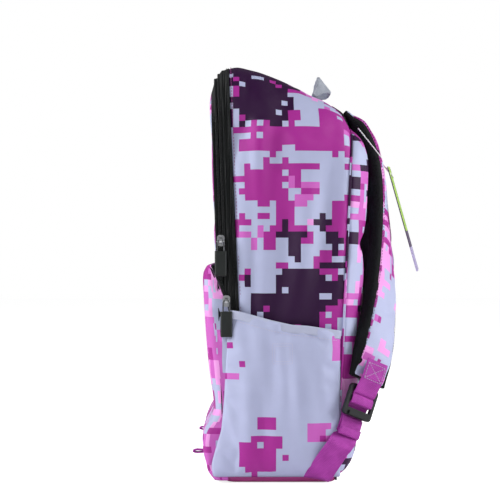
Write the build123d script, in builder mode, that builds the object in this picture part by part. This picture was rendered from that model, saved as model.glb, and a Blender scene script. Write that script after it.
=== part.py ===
from build123d import *
import os
from math import cos, hypot, radians, sin

# School backpack. +X is the wearer's right, +Y the back, +Z up; the origin is on the floor under the bag's middle.

# Driving dimensions, millimetres
width = 300  # across the side panels
corner_radius = 48  # top corners of the bag, seen from the front
front_height = 443  # top edge at the zipper
fabric = 2  # printed fabric with its lining
gap = 0.4  # between pieces that move past each other
split_height = 242  # where the front panel folds when it is unzipped
top_profile = (  # (y, height) along the top
    (-90, 390),
    (-77, 412),
    (-72, 431),
    (-65, 441),
    (-56, 444),
    (-44, 443),
    (0, 427),
    (45, 409),
    (66, 395),
    (80, 365),
)
pad_depth = 20  # padded back, behind the rear seam
pad_slope = 60  # degrees, how gently the padding rises from its seam

pocket_front = -83
pocket_side = width / 2 + 2
pocket_height = 231
pocket_fold = 186  # where the front pocket's upper part folds forward
lip_rear_top = -76

side_pocket_depth = 14
side_pocket_front, side_pocket_rear = -56, 61
mouth_front, mouth_rear = 183, 161  # heights of the slanted side pocket mouth
hem_height = 12

strap_thickness = 12
skin = 3  # strap face and mesh, each side of the foam
webbing_width = 27
webbing = 2  # webbing thickness
webbing_lean = radians(21)  # how far the lower webbing slants forward, in the plane of the strap's end

# Shoulder strap stations, wearer's right: centre (x, y, z), degrees that the outer face turns towards +X, width
strap_stations = (
    ((58, 76, 394), 0, 62),
    ((58, 88, 385), 0, 62),
    ((59, 91.5, 379.5), 0, 63),
    ((64, 104, 337), 3, 66),
    ((73, 107, 292), 8, 66),
    ((86, 108, 247), 15, 64),
    ((104, 107, 200), 24, 60),
    ((127, 101, 150), 38, 54),
    ((147, 90, 108), 60, 44),
)
fixed_stations = 2  # the sewn-down top of the strap, a few millimetres above the part that swings


def leaning_plane(low_y, high_y):
    """Plane along X that leans from low_y at the floor to high_y at the top edge, facing back."""
    return Plane(
        origin=(0, low_y, 0),
        x_dir=(-1, 0, 0),
        z_dir=(0, front_height, low_y - high_y),
    )


front_plane = leaning_plane(-62, -77)
zipper_plane = front_plane.offset(7)
seam_plane = leaning_plane(-38, -57)
rear_plane = leaning_plane(58, 78)


def save(part, name):
    """Labels a finished piece and writes its STEP file."""
    part.label = name
    export_step(part, "parts/" + name + ".step")


def mirrored(part):
    """The same piece for the other side of the bag."""
    with BuildPart() as other:
        mirror(part, about=Plane.YZ)
    return other.part


def bag_volume(inset, floor=0):
    """The bag's outside without its padding, drawn in by inset."""
    with BuildPart() as volume:
        for y, height in top_profile:
            with BuildSketch(Plane.XZ.offset(-y)) as arch:
                with Locations((0, floor)):
                    Rectangle(
                        width - 2 * inset,
                        height - inset - floor,
                        align=(Align.CENTER, Align.MIN),
                    )
                fillet(arch.vertices().group_by(Axis.Y)[-1], corner_radius - inset)
        loft(ruled=True)
    return volume.part


def between(part, front, rear, low=None, high=None):
    """The stretch of a part between two leaning planes, and between two heights."""
    with BuildPart() as piece:
        add(part)
        split(bisect_by=front, keep=Keep.TOP)
        split(bisect_by=rear, keep=Keep.BOTTOM)
        if low is not None:
            split(bisect_by=Plane.XY.offset(low), keep=Keep.TOP)
        if high is not None:
            split(bisect_by=Plane.XY.offset(high), keep=Keep.BOTTOM)
    return piece.part


def bag_shells():
    """Gusset, zipper bands, panels and base of the main compartment."""
    outside = bag_volume(0)
    room = bag_volume(fabric, -10)
    with BuildPart() as wall:
        add(outside)
        add(room, mode=Mode.SUBTRACT)
    proud = bag_volume(-1.2)
    filling = bag_volume(0, -10)
    with BuildPart() as chain:
        add(proud)
        add(filling, mode=Mode.SUBTRACT)
    panel_rear = front_plane.offset(fabric)
    band_rear = zipper_plane.offset(-gap / 2)
    band_front = zipper_plane.offset(gap / 2)
    flap_low = split_height + gap / 2
    fixed_high = split_height - gap / 2
    save(between(wall.part, seam_plane, rear_plane), "side_gusset")
    save(between(wall.part, band_front, seam_plane), "zipper_band_rear")
    save(between(outside, front_plane, panel_rear, high=fixed_high), "lower_front_panel")
    save(between(outside, front_plane, panel_rear, low=flap_low), "front_panel_upper")
    save(between(wall.part, panel_rear, band_rear, high=fixed_high), "zipper_band_lower")
    save(between(wall.part, panel_rear, band_rear, low=flap_low), "zipper_band_flap")
    save(
        between(chain.part, band_front, zipper_plane.offset(3), low=flap_low),
        "main_zipper_chain_rear",
    )
    save(
        between(chain.part, zipper_plane.offset(-3), band_rear, low=flap_low),
        "main_zipper_chain_flap",
    )
    inside = bag_volume(fabric)
    lining_front = rear_plane.offset(-fabric)
    save(between(inside, lining_front, rear_plane, low=fabric + 1), "back_lining")
    save(between(inside, panel_rear, rear_plane, high=fabric + 1), "base_panel")


def back_frustum(outline_inset, depth):
    """Padding behind the rear seam: a low pillow with sloping edges."""
    with BuildPart() as pillow:
        with BuildSketch(rear_plane) as outline:
            with Locations((0, outline_inset)):
                Rectangle(
                    width - 2 * outline_inset,
                    375 - 2 * outline_inset,
                    align=(Align.CENTER, Align.MIN),
                )
            fillet(outline.vertices().group_by(Axis.Y)[-1], corner_radius - outline_inset)
        extrude(amount=depth, taper=pad_slope)
    return pillow.part


def back():
    """Padded back panel. Its foam is a hollow tray with an air gap by the lining, in place of a solid sheet."""
    pillow = back_frustum(0, pad_depth)
    filling = back_frustum(4, pad_depth - 3)
    air = back_frustum(13, pad_depth - 10)
    with BuildPart() as cover:
        add(pillow)
        add(filling, mode=Mode.SUBTRACT)
    with BuildPart() as foam:
        add(filling)
        add(air, mode=Mode.SUBTRACT)
    save(cover.part, "back_panel")
    save(foam.part, "back_foam")


def front_pocket():
    """Front pocket in two parts that meet at the fold, its top band and its zipper chain."""
    zipper_line = ((lip_rear_top, pocket_height), (-57, pocket_fold))
    with BuildPart() as shell:
        with BuildSketch(Plane.YZ) as profile:
            with BuildLine():
                Polyline(
                    (-57, 3),
                    (pocket_front, 3),
                    (pocket_front, pocket_height),
                    *zipper_line,
                    close=True,
                )
            make_face()
            fillet(profile.vertices().sort_by(Axis.X)[:2].sort_by(Axis.Y)[0], 12)
        extrude(amount=pocket_side, both=True)
        with BuildSketch(Plane.XY.offset(5)) as hollow:
            with Locations((0, pocket_front + 2)):
                Rectangle(width + 0.6, 60, align=(Align.CENTER, Align.MIN))
        extrude(amount=pocket_height - 7, mode=Mode.SUBTRACT)
        with BuildSketch(Plane.XY):
            with Locations((0, -62.6)):
                Rectangle(width + 0.6, 60, align=(Align.CENTER, Align.MIN))
        extrude(amount=pocket_height + 9, mode=Mode.SUBTRACT)
    with BuildPart() as lower:
        add(shell.part)
        split(bisect_by=Plane.XY.offset(pocket_fold - gap / 2), keep=Keep.BOTTOM)
    with BuildPart() as lip:
        add(shell.part)
        split(bisect_by=Plane.XY.offset(pocket_fold + gap / 2), keep=Keep.TOP)
    save(lower.part, "front_pocket_panel")
    save(lip.part, "pocket_lip_panel")
    with BuildPart() as band:
        with BuildSketch(Plane.XY.offset(pocket_height - 2)):
            with Locations((0, lip_rear_top + 4 * gap)):
                Rectangle(width, 4, align=(Align.CENTER, Align.MIN))
        extrude(amount=2)
    save(band.part, "pocket_top_band")
    chain_width = 2.4
    chain_gap = 2.2  # the lip swings clear of the chain
    with BuildPart() as chain:
        with BuildSketch(Plane.YZ):
            with BuildLine():
                Polyline(
                    (lip_rear_top + chain_gap, pocket_height),
                    (-57 + chain_gap, pocket_fold),
                    (-57 + chain_gap + chain_width, pocket_fold),
                    (lip_rear_top + chain_gap + chain_width, pocket_height),
                    close=True,
                )
            make_face()
        extrude(amount=pocket_side, both=True)
        with BuildSketch(Plane.XY):
            Rectangle(width + 0.6, 400)
        extrude(amount=pocket_height + 1, mode=Mode.SUBTRACT)
    save(chain.part, "pocket_zipper_chain")


def bowl(inset):
    """Side pocket's outline with sloping sides, drawn in by inset and reaching above the mouth."""
    tall = mouth_front + 30
    front, rear = side_pocket_front + inset, side_pocket_rear - inset
    with BuildPart() as shape:
        with BuildSketch(Plane.YZ.offset(width / 2 + 0.3)):
            with BuildLine():
                Polyline((front, 6 + inset), (rear, 6 + inset), (rear, tall), (front, tall), close=True)
            make_face()
        extrude(amount=side_pocket_depth - 0.7 * inset, taper=45)
    return shape.part


def side_pocket():
    """Open side pocket on the wearer's right with its elastic hem."""
    outer, inner = bowl(0), bowl(2)
    slope = mouth_rear - mouth_front
    run = side_pocket_rear - side_pocket_front
    mouth = Plane(
        origin=(0, side_pocket_front, mouth_front), x_dir=(1, 0, 0), z_dir=(0, -slope, run)
    )
    with BuildPart() as wall:
        add(outer)
        add(inner, mode=Mode.SUBTRACT)
    with BuildPart() as pocket:
        add(wall.part)
        split(bisect_by=mouth.offset(-hem_height), keep=Keep.BOTTOM)
    with BuildPart() as hem:
        add(wall.part)
        split(bisect_by=mouth.offset(-hem_height), keep=Keep.TOP)
        split(bisect_by=mouth, keep=Keep.BOTTOM)
    for part, name in ((pocket.part, "side_pocket"), (hem.part, "side_pocket_hem")):
        save(part, name + "_right")
        save(mirrored(part), name + "_left")
    return pocket.part


def slider(y, z, surface_x, name):
    """Zipper slider with a bridge; the pull's wire passes through the bridge along Y."""
    with BuildPart() as body:
        with BuildSketch(Plane.YZ.offset(surface_x)):
            with Locations((y, z)):
                RectangleRounded(8, 12, 3)
        extrude(amount=2.6)
        with BuildSketch(Plane.XZ.offset(-y)):
            with Locations((surface_x + 4.4, z)):
                Circle(3.4)
                Circle(1.5, mode=Mode.SUBTRACT)
        extrude(amount=1.4, both=True)
    save(body.part, name)


def pull(y, z, surface_x, name):
    """Wire link hanging from the slider's bridge and the rubber grip moulded on it."""
    pin_x = surface_x + 4.4
    link_length = 14
    with BuildPart() as link:
        with BuildLine(Plane.YZ.offset(pin_x)) as path:
            FilletPolyline(
                (y - 3.4, z),
                (y + 3.4, z),
                (y + 3.4, z - link_length),
                (y - 3.4, z - link_length),
                radius=1.6,
                close=True,
            )
        with BuildSketch(Plane(path.line @ 0, z_dir=path.line % 0)):
            Circle(0.8)
        sweep()
    with BuildPart() as grip:
        with BuildSketch(Plane.XY.offset(z - link_length + 3)):
            with Locations((pin_x, y)):
                RectangleRounded(5.6, 12.5, 2)
        extrude(amount=-27)
        fillet(grip.faces().sort_by(Axis.Z)[0].edges(), 1.5)
        add(link.part, mode=Mode.SUBTRACT)
    save(link.part, name + "_link")
    save(grip.part, name + "_grip")


def haul_loop():
    """Webbing handle that lies back over the top edge, its base strip and the two sewn yokes."""
    lean = Plane(origin=(0, 36, 416.5), x_dir=(1, 0, 0), z_dir=(0, -0.62, 0.78))
    with BuildPart() as loop:
        with BuildSketch(lean):
            with BuildLine():
                Polyline((-56, 0), (-44, 21), (44, 21), (56, 0))
                Polyline((56, 0), (51, 0), (41, 18), (-41, 18), (-51, 0), (-56, 0))
            make_face()
        extrude(amount=12, both=True)
        with BuildSketch(Plane(origin=lean.origin, x_dir=(0, -0.62, 0.78), z_dir=(-1, 0, 0))):
            with BuildLine():
                Polyline((-3, 0), (-12, 12), (-12, 23), (12, 23), (12, 12), (3, 0), close=True)
            make_face()
        extrude(amount=60, both=True, mode=Mode.INTERSECT)
    save(loop.part, "haul_loop")
    proud, bag = bag_volume(-1.5), bag_volume(0)
    with BuildPart() as base:
        add(proud)
        add(bag, mode=Mode.SUBTRACT)
        with BuildSketch(Plane.XY.offset(380)):
            with Locations((0, 36)):
                Rectangle(124, 20)
        extrude(amount=70, mode=Mode.INTERSECT)
    save(base.part, "haul_loop_base")
    with BuildPart() as yoke:
        add(proud)
        add(bag, mode=Mode.SUBTRACT)
        with BuildSketch(Plane.XY.offset(360)):
            with Locations((0, 64)):
                Rectangle(184, 20)
        extrude(amount=70, mode=Mode.INTERSECT)
        split(bisect_by=rear_plane, keep=Keep.BOTTOM)
    save(yoke.part, "strap_yoke")


def strap_frames():
    """Section plane of each strap station: X across the strap, Y towards the wearer's back."""
    centres = [Vector(*centre) for centre, turn, across in strap_stations]
    frames = []
    for index, (centre, turn, across) in enumerate(strap_stations):
        before = centres[max(index - 1, 0)]
        after = centres[min(index + 1, len(centres) - 1)]
        side = Vector(cos(radians(turn)), -sin(radians(turn)), 0)
        along = after - before
        along = along - side * along.dot(side)
        frames.append(Plane(origin=centre, x_dir=side, z_dir=along))
    return frames


def strap_layer(stations, frames, low, high, narrower=0):
    """Loft of one layer of the strap, from low to high through its thickness."""
    with BuildPart() as layer:
        for (centre, turn, across), frame in zip(stations, frames):
            with BuildSketch(frame):
                with Locations((0, (low + high) / 2)):
                    Rectangle(across - narrower, high - low)
        loft(ruled=True)
    return layer.part


def traced(plane, points, across, thickness=webbing):
    """A strip of webbing bent along points in a plane, as wide as across."""
    with BuildPart() as strip:
        with BuildSketch(plane):
            with BuildLine():
                Polyline(*points)
            trace(line_width=thickness)
        extrude(amount=across / 2, both=True)
    return strip.part


def ladder_lock(hardware):
    """Buckle frame with a top bar, a middle bar and a lifting lip."""
    half_bar = 2.2
    with BuildPart() as lock:
        with BuildSketch(hardware):
            RectangleRounded(36, 34, 4)
            with Locations((0, -8.5), (0, 5)):
                Rectangle(29, 7.5, mode=Mode.SUBTRACT)
        extrude(amount=half_bar, both=True)
        with BuildSketch(hardware.offset(half_bar)):
            with Locations((0, 14)):
                Rectangle(24, 4)
        extrude(amount=2.5)
    return lock.part


def shoulder_strap(pocket):
    """The wearer's right strap: fixed top, three layers, patch, buckle, lower webbing, tail and anchor."""
    frames = strap_frames()
    half = strap_thickness / 2
    fixed, fixed_frames = strap_stations[:fixed_stations], frames[:fixed_stations]
    moving, moving_frames = strap_stations[fixed_stations:], frames[fixed_stations:]
    core = half - skin
    pieces = {
        "strap_top": strap_layer(fixed, fixed_frames, -half, half),
        "strap_face": strap_layer(moving, moving_frames, -half, -core),
        "strap_foam": strap_layer(moving, moving_frames, 0.1 - core, core - 0.1, 4),
        "strap_mesh": strap_layer(moving, moving_frames, core, half),
    }
    centre, turn, across = strap_stations[-1]
    side = Vector(cos(radians(turn)), -sin(radians(turn)), 0)
    outward = Vector(sin(radians(turn)), cos(radians(turn)), 0)
    up = Vector(0, 0, cos(webbing_lean)) - side * sin(webbing_lean)
    middle = Vector(*centre) - up * 24
    hardware = Plane(origin=middle, x_dir=outward.cross(up), z_dir=outward)
    profile = Plane(origin=middle, x_dir=outward, z_dir=outward.cross(up))
    pieces["ladder_lock"] = ladder_lock(hardware)
    patch_path = ((4, 44), (8, 26), (3.8, 18), (3.8, 8.6), (-3.8, 8.6), (-3.8, 14.5))
    webbing_path = (
        (-6.2, -40),
        (-6.2, 6.2),
        (3.8, 6.2),
        (3.8, -3.6),
        (-3.8, -3.6),
        (-3.8, -17.2),
    )
    tail_path = ((-3.8, -18.2), (-3.8, -38), (-1.7, -38), (-1.7, -30))
    folded = traced(profile, patch_path, webbing_width)
    with BuildPart() as patch:
        add(folded)
        add(pieces["strap_face"], mode=Mode.SUBTRACT)
    pieces["strap_patch"] = patch.part
    pieces["strap_webbing"] = traced(profile, webbing_path, webbing_width)
    pieces["webbing_tail"] = traced(profile, tail_path, webbing_width - 1)
    descent = Plane(origin=(0, 40, 1), x_dir=(1, 0, 0), z_dir=(0, -0.866, 0.5))
    anchor_path = ((width / 2 + 2.5, 0), (167, 18), (167, 32), (160, 48))
    rising = traced(descent, anchor_path, webbing_width)
    with BuildPart() as anchor:
        add(rising)
        add(pocket, mode=Mode.SUBTRACT)
        split(bisect_by=Plane.XY, keep=Keep.TOP)
    pieces["webbing_anchor"] = anchor.part
    for name, part in pieces.items():
        save(part, name + "_right")
        save(mirrored(part), name + "_left")


def hang_tag():
    """Swing tag on a thin loop round the right strap."""
    loop_plane = Plane(origin=(62, 97, 363), x_dir=(1, 0, 0), z_dir=(0, 0.78, 0.62))
    with BuildPart() as loop:
        with BuildLine(loop_plane) as path:
            FilletPolyline(
                (-37, -21),
                (37, -21),
                (37, 19),
                (3.2, 21),
                (2.2, 45.7),
                (-2.2, 45.7),
                (-3.2, 21),
                (-37, 19),
                radius=1.4,
                close=True,
            )
        with BuildSketch(Plane(path.line @ 0, z_dir=path.line % 0)):
            Circle(0.6)
        sweep()
    save(loop.part, "tag_loop")
    turn = radians(-8)
    down = Vector(0, 0.27, -0.963)
    across = Vector(cos(turn), sin(turn) * 0.963, sin(turn) * 0.27)
    hole = (62, 121.8, 331.8)
    with BuildPart() as card:
        with BuildSketch(Plane(origin=hole, x_dir=across, z_dir=across.cross(down))) as outline:
            with Locations((0, 52)):
                RectangleRounded(42, 120, 5)
            Circle(5, mode=Mode.SUBTRACT)
        extrude(amount=0.5, both=True)
    save(card.part, "hang_tag")


def front_tabs():
    """Two folded ribbon ends in the front pocket's lower seam."""
    with BuildPart() as tabs:
        with BuildSketch(Plane.YZ) as profile:
            with Locations((pocket_front - 6.5, 31)):
                RectangleRounded(13, 3.6, 1.5)
        extrude(amount=126, both=True)
        with BuildSketch(Plane.XY):
            Rectangle(232, 400)
        extrude(amount=60, mode=Mode.SUBTRACT)
    save(tabs.part, "front_tabs")


def build():
    os.makedirs("parts", exist_ok=True)
    bag_shells()
    back()
    front_pocket()
    pocket = side_pocket()
    slider(-65, 257, width / 2 + 1.6, "main_slider")
    pull(-65, 257, width / 2 + 1.6, "main_pull")
    slider(-59, 193, pocket_side + 0.3, "pocket_slider")
    pull(-59, 193, pocket_side + 0.3, "pocket_pull")
    haul_loop()
    shoulder_strap(pocket)
    hang_tag()
    front_tabs()


build()
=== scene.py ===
"""Looks of the school backpack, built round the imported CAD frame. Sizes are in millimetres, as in
the CAD."""
import math

import bmesh
import bpy
import numpy as np
from mathutils.bvhtree import BVHTree
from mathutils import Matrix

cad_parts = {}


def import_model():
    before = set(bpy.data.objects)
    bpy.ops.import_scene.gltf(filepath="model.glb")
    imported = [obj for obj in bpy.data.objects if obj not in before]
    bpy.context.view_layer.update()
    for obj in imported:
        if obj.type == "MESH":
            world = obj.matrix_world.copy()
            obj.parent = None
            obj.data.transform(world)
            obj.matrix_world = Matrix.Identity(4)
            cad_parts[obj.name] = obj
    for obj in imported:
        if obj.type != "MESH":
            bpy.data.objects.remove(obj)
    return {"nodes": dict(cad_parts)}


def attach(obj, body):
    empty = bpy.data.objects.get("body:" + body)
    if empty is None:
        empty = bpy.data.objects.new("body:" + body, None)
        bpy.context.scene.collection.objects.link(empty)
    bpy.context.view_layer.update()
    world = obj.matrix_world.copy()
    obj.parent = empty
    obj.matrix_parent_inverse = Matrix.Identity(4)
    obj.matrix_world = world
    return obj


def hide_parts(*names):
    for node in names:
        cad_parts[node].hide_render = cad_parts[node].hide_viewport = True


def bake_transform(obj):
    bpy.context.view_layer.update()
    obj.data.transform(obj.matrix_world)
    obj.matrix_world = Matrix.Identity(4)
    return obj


cad_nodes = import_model()["nodes"]
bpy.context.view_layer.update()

MM = 0.001
HEIGHT = 443  # of the whole bag
HALF_WIDTH = 150.0
CORNER = 48.0  # top corners of the bag, seen from the front
SKIRT = 8.0  # height where the side fabric meets the base
TOP_Y = (-90, -77, -72, -65, -56, -44, 0, 45, 66, 80)
TOP_Z = (390, 412, 431, 441, 444, 443, 427, 409, 395, 365)
COVERED = 150  # height up to which the pockets cover the sides
SQUARE = 6.5  # side of one printed square
SIM_SCALE = 10
SIDES = (("right", 1), ("left", -1))


# ---------------------------------------------------------------- surfaces


def leaning(low, high):
    """Line in the side view that leans from y = low at the ground to y = high at full height."""
    return lambda z: low + (high - low) * z / HEIGHT


front_y = leaning(-62, -77)
zipper_y = leaning(-55, -70)
seam_y = leaning(-38, -57)
rear_y = leaning(58, 78)


def beside(line, shift):
    """A leaning line moved towards the back by shift."""
    return lambda z: line(z) + shift


def top_height(y):
    return np.interp(y, TOP_Y, TOP_Z)


def by_part(t, *values):
    """Picks a value by the part of the way round: side, corner, middle, corner, side."""
    return np.select([t <= 1, t <= 2, t <= 3, t <= 4, t <= 5.001], values)


def arch(t, height):
    """Place and outward direction round the bag in x and z, with the length run so far.
    t runs 0..1 up the right side, 1..2 round its corner, 2..3 over the top, then down the left side to 5."""
    a, b = (t - 1) * math.pi / 2, (t - 3) * math.pi / 2 + math.pi / 2
    flat = HALF_WIDTH - CORNER
    shoulder = height - CORNER
    quarter = CORNER * math.pi / 2
    x = by_part(
        t,
        HALF_WIDTH + 0 * t,
        flat + CORNER * np.cos(a),
        flat - 2 * flat * (t - 2),
        CORNER * np.cos(b) - flat,
        0 * t - HALF_WIDTH,
    )
    z = by_part(
        t,
        SKIRT + t * (shoulder - SKIRT),
        shoulder + CORNER * np.sin(a),
        height + 0 * t,
        shoulder + CORNER * np.sin(b),
        shoulder - (t - 4) * (shoulder - SKIRT),
    )
    nx = by_part(t, 1 + 0 * t, np.cos(a), 0 * t, np.cos(b), 0 * t - 1)
    nz = by_part(t, 0 * t, np.sin(a), 1 + 0 * t, np.sin(b), 0 * t)
    over = shoulder + quarter
    run = by_part(
        t,
        z,
        shoulder + CORNER * a,
        over + (flat - x),
        over + 2 * flat + CORNER * (b - math.pi / 2),
        over + 2 * flat + quarter + shoulder - z,
    )
    return x, z, nx, nz, run


def around(t, v, front, rear, offset=0.0):
    """Points on the bag's side and top between two leaning lines, with their place in the print."""
    y = 0 * t * v - 10
    for _ in range(4):
        x, z, nx, nz, run = arch(t, top_height(y))
        y = front(z) + (rear(z) - front(z)) * v
    points = np.stack([x + nx * offset, y, z + nz * offset], -1)
    return points, np.stack([run, y], -1) * MM


def line_round(t, line, offset):
    """Points on a leaning line round the bag, with their outward directions."""
    points, _ = around(t, 0 * t, line, line, offset)
    _, _, nx, nz, _ = arch(t, top_height(points[:, 1]))
    return points, np.stack([nx, 0 * nx, nz], -1)


def arch_steps(side, corner, over):
    """Values of t for arch, with so many on each side, round each corner and over the top."""
    steps = [np.linspace(0, 1, side), np.linspace(1, 2, corner)[1:], np.linspace(2, 3, over)[1:]]
    steps += [np.linspace(3, 4, corner)[1:], np.linspace(4, 5, side)[1:]]
    return np.concatenate(steps)


def rounded_top(x, height):
    """Height of a panel's top edge, with the bag's rounded corners."""
    fall = np.clip(np.abs(x) - (HALF_WIDTH - CORNER), 0, CORNER)
    return height - (CORNER - np.sqrt(np.maximum(CORNER**2 - fall**2, 0)))


def lengths(path):
    """Length run so far at each point of a path."""
    return np.r_[0, np.cumsum(np.linalg.norm(np.diff(path, axis=0), axis=1))]


def at_length(s, run, values):
    """Values given at each point of a path, read off at length s."""
    return np.stack([np.interp(s, run, values[:, k]) for k in range(3)], -1)


def table(rows, cols):
    """Two tables over rows x columns, one of the row values and one of the column values."""
    return np.meshgrid(rows, cols, indexing="ij")


def ease(values, passes):
    """Evens out a row of values in place, and leaves its two ends where they are."""
    for _ in range(passes):
        values[1:-1] = (values[:-2] + 2 * values[1:-1] + values[2:]) / 4


def swell(v, power=2.0):
    """0 at both edges of a panel and 1 across its middle."""
    return 1 - np.abs(2 * v - 1) ** power


def bump_at(v, centre, half_width):
    return np.exp(-(((v - centre) / half_width) ** 2))


def ridged(v, ridges):
    """Height of ridges across a strip, each given as (share across, half width, height)."""
    return sum(height * bump_at(v, centre, half_width) for centre, half_width, height in ridges)


def ripples(a, b, seed, waves=9, short=30.0, long=120.0):
    """Soft random folds, about -1..1, over two coordinates in millimetres."""
    rng = np.random.default_rng(seed)
    total = 0
    for _ in range(waves):
        angle, length, phase = rng.uniform(-0.5, 0.5), rng.uniform(short, long), rng.uniform(0, 2 * math.pi)
        total = total + np.sin(2 * math.pi * (a * math.cos(angle) + b * math.sin(angle)) / length + phase)
    return total / math.sqrt(waves)


# ---------------------------------------------------------------- meshes


def new_object(name, points, faces, material, uv=None):
    """Mesh object from points in millimetres. uv is one pair for each corner of each face."""
    mesh = bpy.data.meshes.new(name)
    mesh.from_pydata((np.asarray(points, float) * MM).tolist(), [], faces)
    if uv is not None:
        layer = mesh.uv_layers.new(name="UVMap")
        layer.data.foreach_set("uv", np.asarray(uv, np.float32).ravel())
    mesh.polygons.foreach_set("use_smooth", [True] * len(mesh.polygons))
    mesh.update()
    obj = bpy.data.objects.new(name, mesh)
    bpy.context.scene.collection.objects.link(obj)
    for each in material if isinstance(material, (list, tuple)) else [material]:
        mesh.materials.append(each)
    return obj


def grid(name, points, uv, material, wrap=False, flip=False):
    """Sheet of quads over rows x columns of points.
    With wrap the last column joins the first, and uv has one column more."""
    rows, cols = points.shape[:2]
    index = np.arange(rows * cols).reshape(rows, cols)
    right = np.roll(index, -1, 1) if wrap else index[:, 1:]
    left = index if wrap else index[:, :-1]
    quads = np.stack([left[:-1], right[:-1], right[1:], left[1:]], -1).reshape(-1, 4)
    corner = np.stack([uv[:-1, :-1], uv[:-1, 1:], uv[1:, 1:], uv[1:, :-1]], -2).reshape(-1, 4, 2)
    if flip:
        quads, corner = quads[:, ::-1], corner[:, ::-1]
    return new_object(name, points.reshape(-1, 3), quads.tolist(), material, corner)


def apply_modifiers(obj):
    graph = bpy.context.evaluated_depsgraph_get()
    mesh = bpy.data.meshes.new_from_object(obj.evaluated_get(graph))
    old = obj.data
    obj.modifiers.clear()
    obj.data = mesh
    bpy.data.meshes.remove(old)
    return obj


def thicken(obj, thickness, inside=None):
    """Gives a sheet its thickness. The far side and the rim take the second material."""
    if inside is not None:
        obj.data.materials.append(inside)
    solid = obj.modifiers.new("thickness", "SOLIDIFY")
    solid.thickness = thickness * MM
    solid.offset = -1.0
    solid.material_offset = 0 if inside is None else 1
    solid.material_offset_rim = solid.material_offset
    solid.use_even_offset = False
    return apply_modifiers(obj)


def subdivide(obj):
    smooth = obj.modifiers.new("smooth", "SUBSURF")
    smooth.levels = smooth.render_levels = 1
    return apply_modifiers(obj)


def settle(obj, pinned, cap, pressure=0.0, slack=0.02, frames=18):
    """Lets fabric settle between its sewn edges by a short cloth simulation, then applies the result.
    It runs at SIM_SCALE times the size, where the solver is steady. No point moves more than cap."""
    count = len(obj.data.vertices)
    start = np.empty(count * 3)
    obj.data.vertices.foreach_get("co", start)
    obj.data.vertices.foreach_set("co", start * SIM_SCALE)
    group = obj.vertex_groups.new(name="sewn")
    group.add(pinned, 1.0, "REPLACE")
    cloth = obj.modifiers.new("cloth", "CLOTH")
    fabric = cloth.settings
    fabric.quality = 6
    fabric.mass = 0.3
    fabric.tension_stiffness = 20
    fabric.compression_stiffness = 20
    fabric.shear_stiffness = 8
    fabric.bending_stiffness = 0.6
    fabric.air_damping = 4
    fabric.vertex_group_mass = "sewn"
    fabric.shrink_min = -slack
    fabric.use_pressure = pressure != 0
    fabric.uniform_pressure_force = pressure
    fabric.effector_weights.gravity = 0
    cloth.collision_settings.use_collision = False
    cloth.point_cache.frame_end = frames
    for number in range(1, frames + 1):
        bpy.context.scene.frame_set(number)
    moved = obj.evaluated_get(bpy.context.evaluated_depsgraph_get()).to_mesh()
    end = np.empty(count * 3)
    moved.vertices.foreach_get("co", end)
    shift = (end / SIM_SCALE - start).reshape(-1, 3)
    length = np.maximum(np.linalg.norm(shift, axis=1, keepdims=True), 1e-9)
    limit = cap * MM
    shift = shift / length * limit * np.tanh(length / limit)
    obj.modifiers.clear()
    obj.vertex_groups.clear()
    obj.data.vertices.foreach_set("co", (start.reshape(-1, 3) + shift).ravel())
    obj.data.update()
    bpy.context.scene.frame_set(1)
    return obj


def pinned_points(shape, sewn=False):
    """Numbers of the points round the edge of a sheet, and of those where it is sewn down."""
    pinned = np.zeros(shape, bool) | sewn
    pinned[[0, -1]] = True
    pinned[:, [0, -1]] = True
    return np.flatnonzero(pinned).tolist()


def smooth_path(points, step=1.5, passes=10):
    points = np.array(points, float)
    run = lengths(points)
    steps = np.linspace(0, run[-1], max(8, int(run[-1] / step)))
    path = at_length(steps, run, points)
    ease(path, passes)
    return path


def unit(vectors):
    return vectors / np.maximum(np.linalg.norm(vectors, axis=-1, keepdims=True), 1e-9)


def path_frames(path, across):
    tangent = unit(np.gradient(path, axis=0))
    across = np.broadcast_to(np.asarray(across, float), path.shape)
    across = unit(across - tangent * (across * tangent).sum(1, keepdims=True))
    return tangent, across, np.cross(tangent, across)


def outline(half_width, half_thick, corner, flats=6, arcs=4):
    """Rounded rectangle as pairs of offsets, running anticlockwise from the right side."""
    pairs = []
    for sx, sy, first in ((1, 1, 0), (-1, 1, 90), (-1, -1, 180), (1, -1, 270)):
        cx, cy = sx * (half_width - corner), sy * (half_thick - corner)
        for k in range(arcs + 1):
            angle = math.radians(first + 90 * k / arcs)
            pairs.append((cx + corner * math.cos(angle), cy + corner * math.sin(angle)))
        if first in (0, 180):
            far = -cx
            for k in range(1, flats):
                pairs.append((cx + (far - cx) * k / flats, pairs[-1][1]))
    return np.array(pairs)


def spread(path, across, normal, a, b):
    """Points beside each point of a path, a along its across direction and b along its normal."""
    return path[:, None] + across[:, None] * a[..., None] + normal[:, None] * b[..., None]


def sweep(name, path, across, section, material, scale=None):
    """Sweeps a closed section along a path. scale holds one width factor for each point of the path."""
    _, across, normal = path_frames(path, across)
    scale = np.ones(len(path)) if scale is None else np.asarray(scale, float)
    a = section[None, :, 0] * scale[:, None]
    b = np.broadcast_to(section[None, :, 1], a.shape)
    points = spread(path, across, normal, a, b)
    run = lengths(path)
    girth = lengths(np.vstack([section, section[:1]]))
    uv = np.stack(table(run, girth), -1) * MM
    obj = grid(name, points, uv, material, wrap=True)
    close_ends(obj, len(path), len(section))
    return obj


def close_ends(obj, rows, cols):
    """Caps the first and the last ring of a tube."""
    mesh = obj.data
    work = bmesh.new()
    work.from_mesh(mesh)
    work.verts.ensure_lookup_table()
    work.faces.new([work.verts[i] for i in range(cols)])
    work.faces.new([work.verts[(rows - 1) * cols + i] for i in range(cols)][::-1])
    bmesh.ops.recalc_face_normals(work, faces=work.faces)
    for face in work.faces:
        face.smooth = True
    work.to_mesh(mesh)
    work.free()


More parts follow.
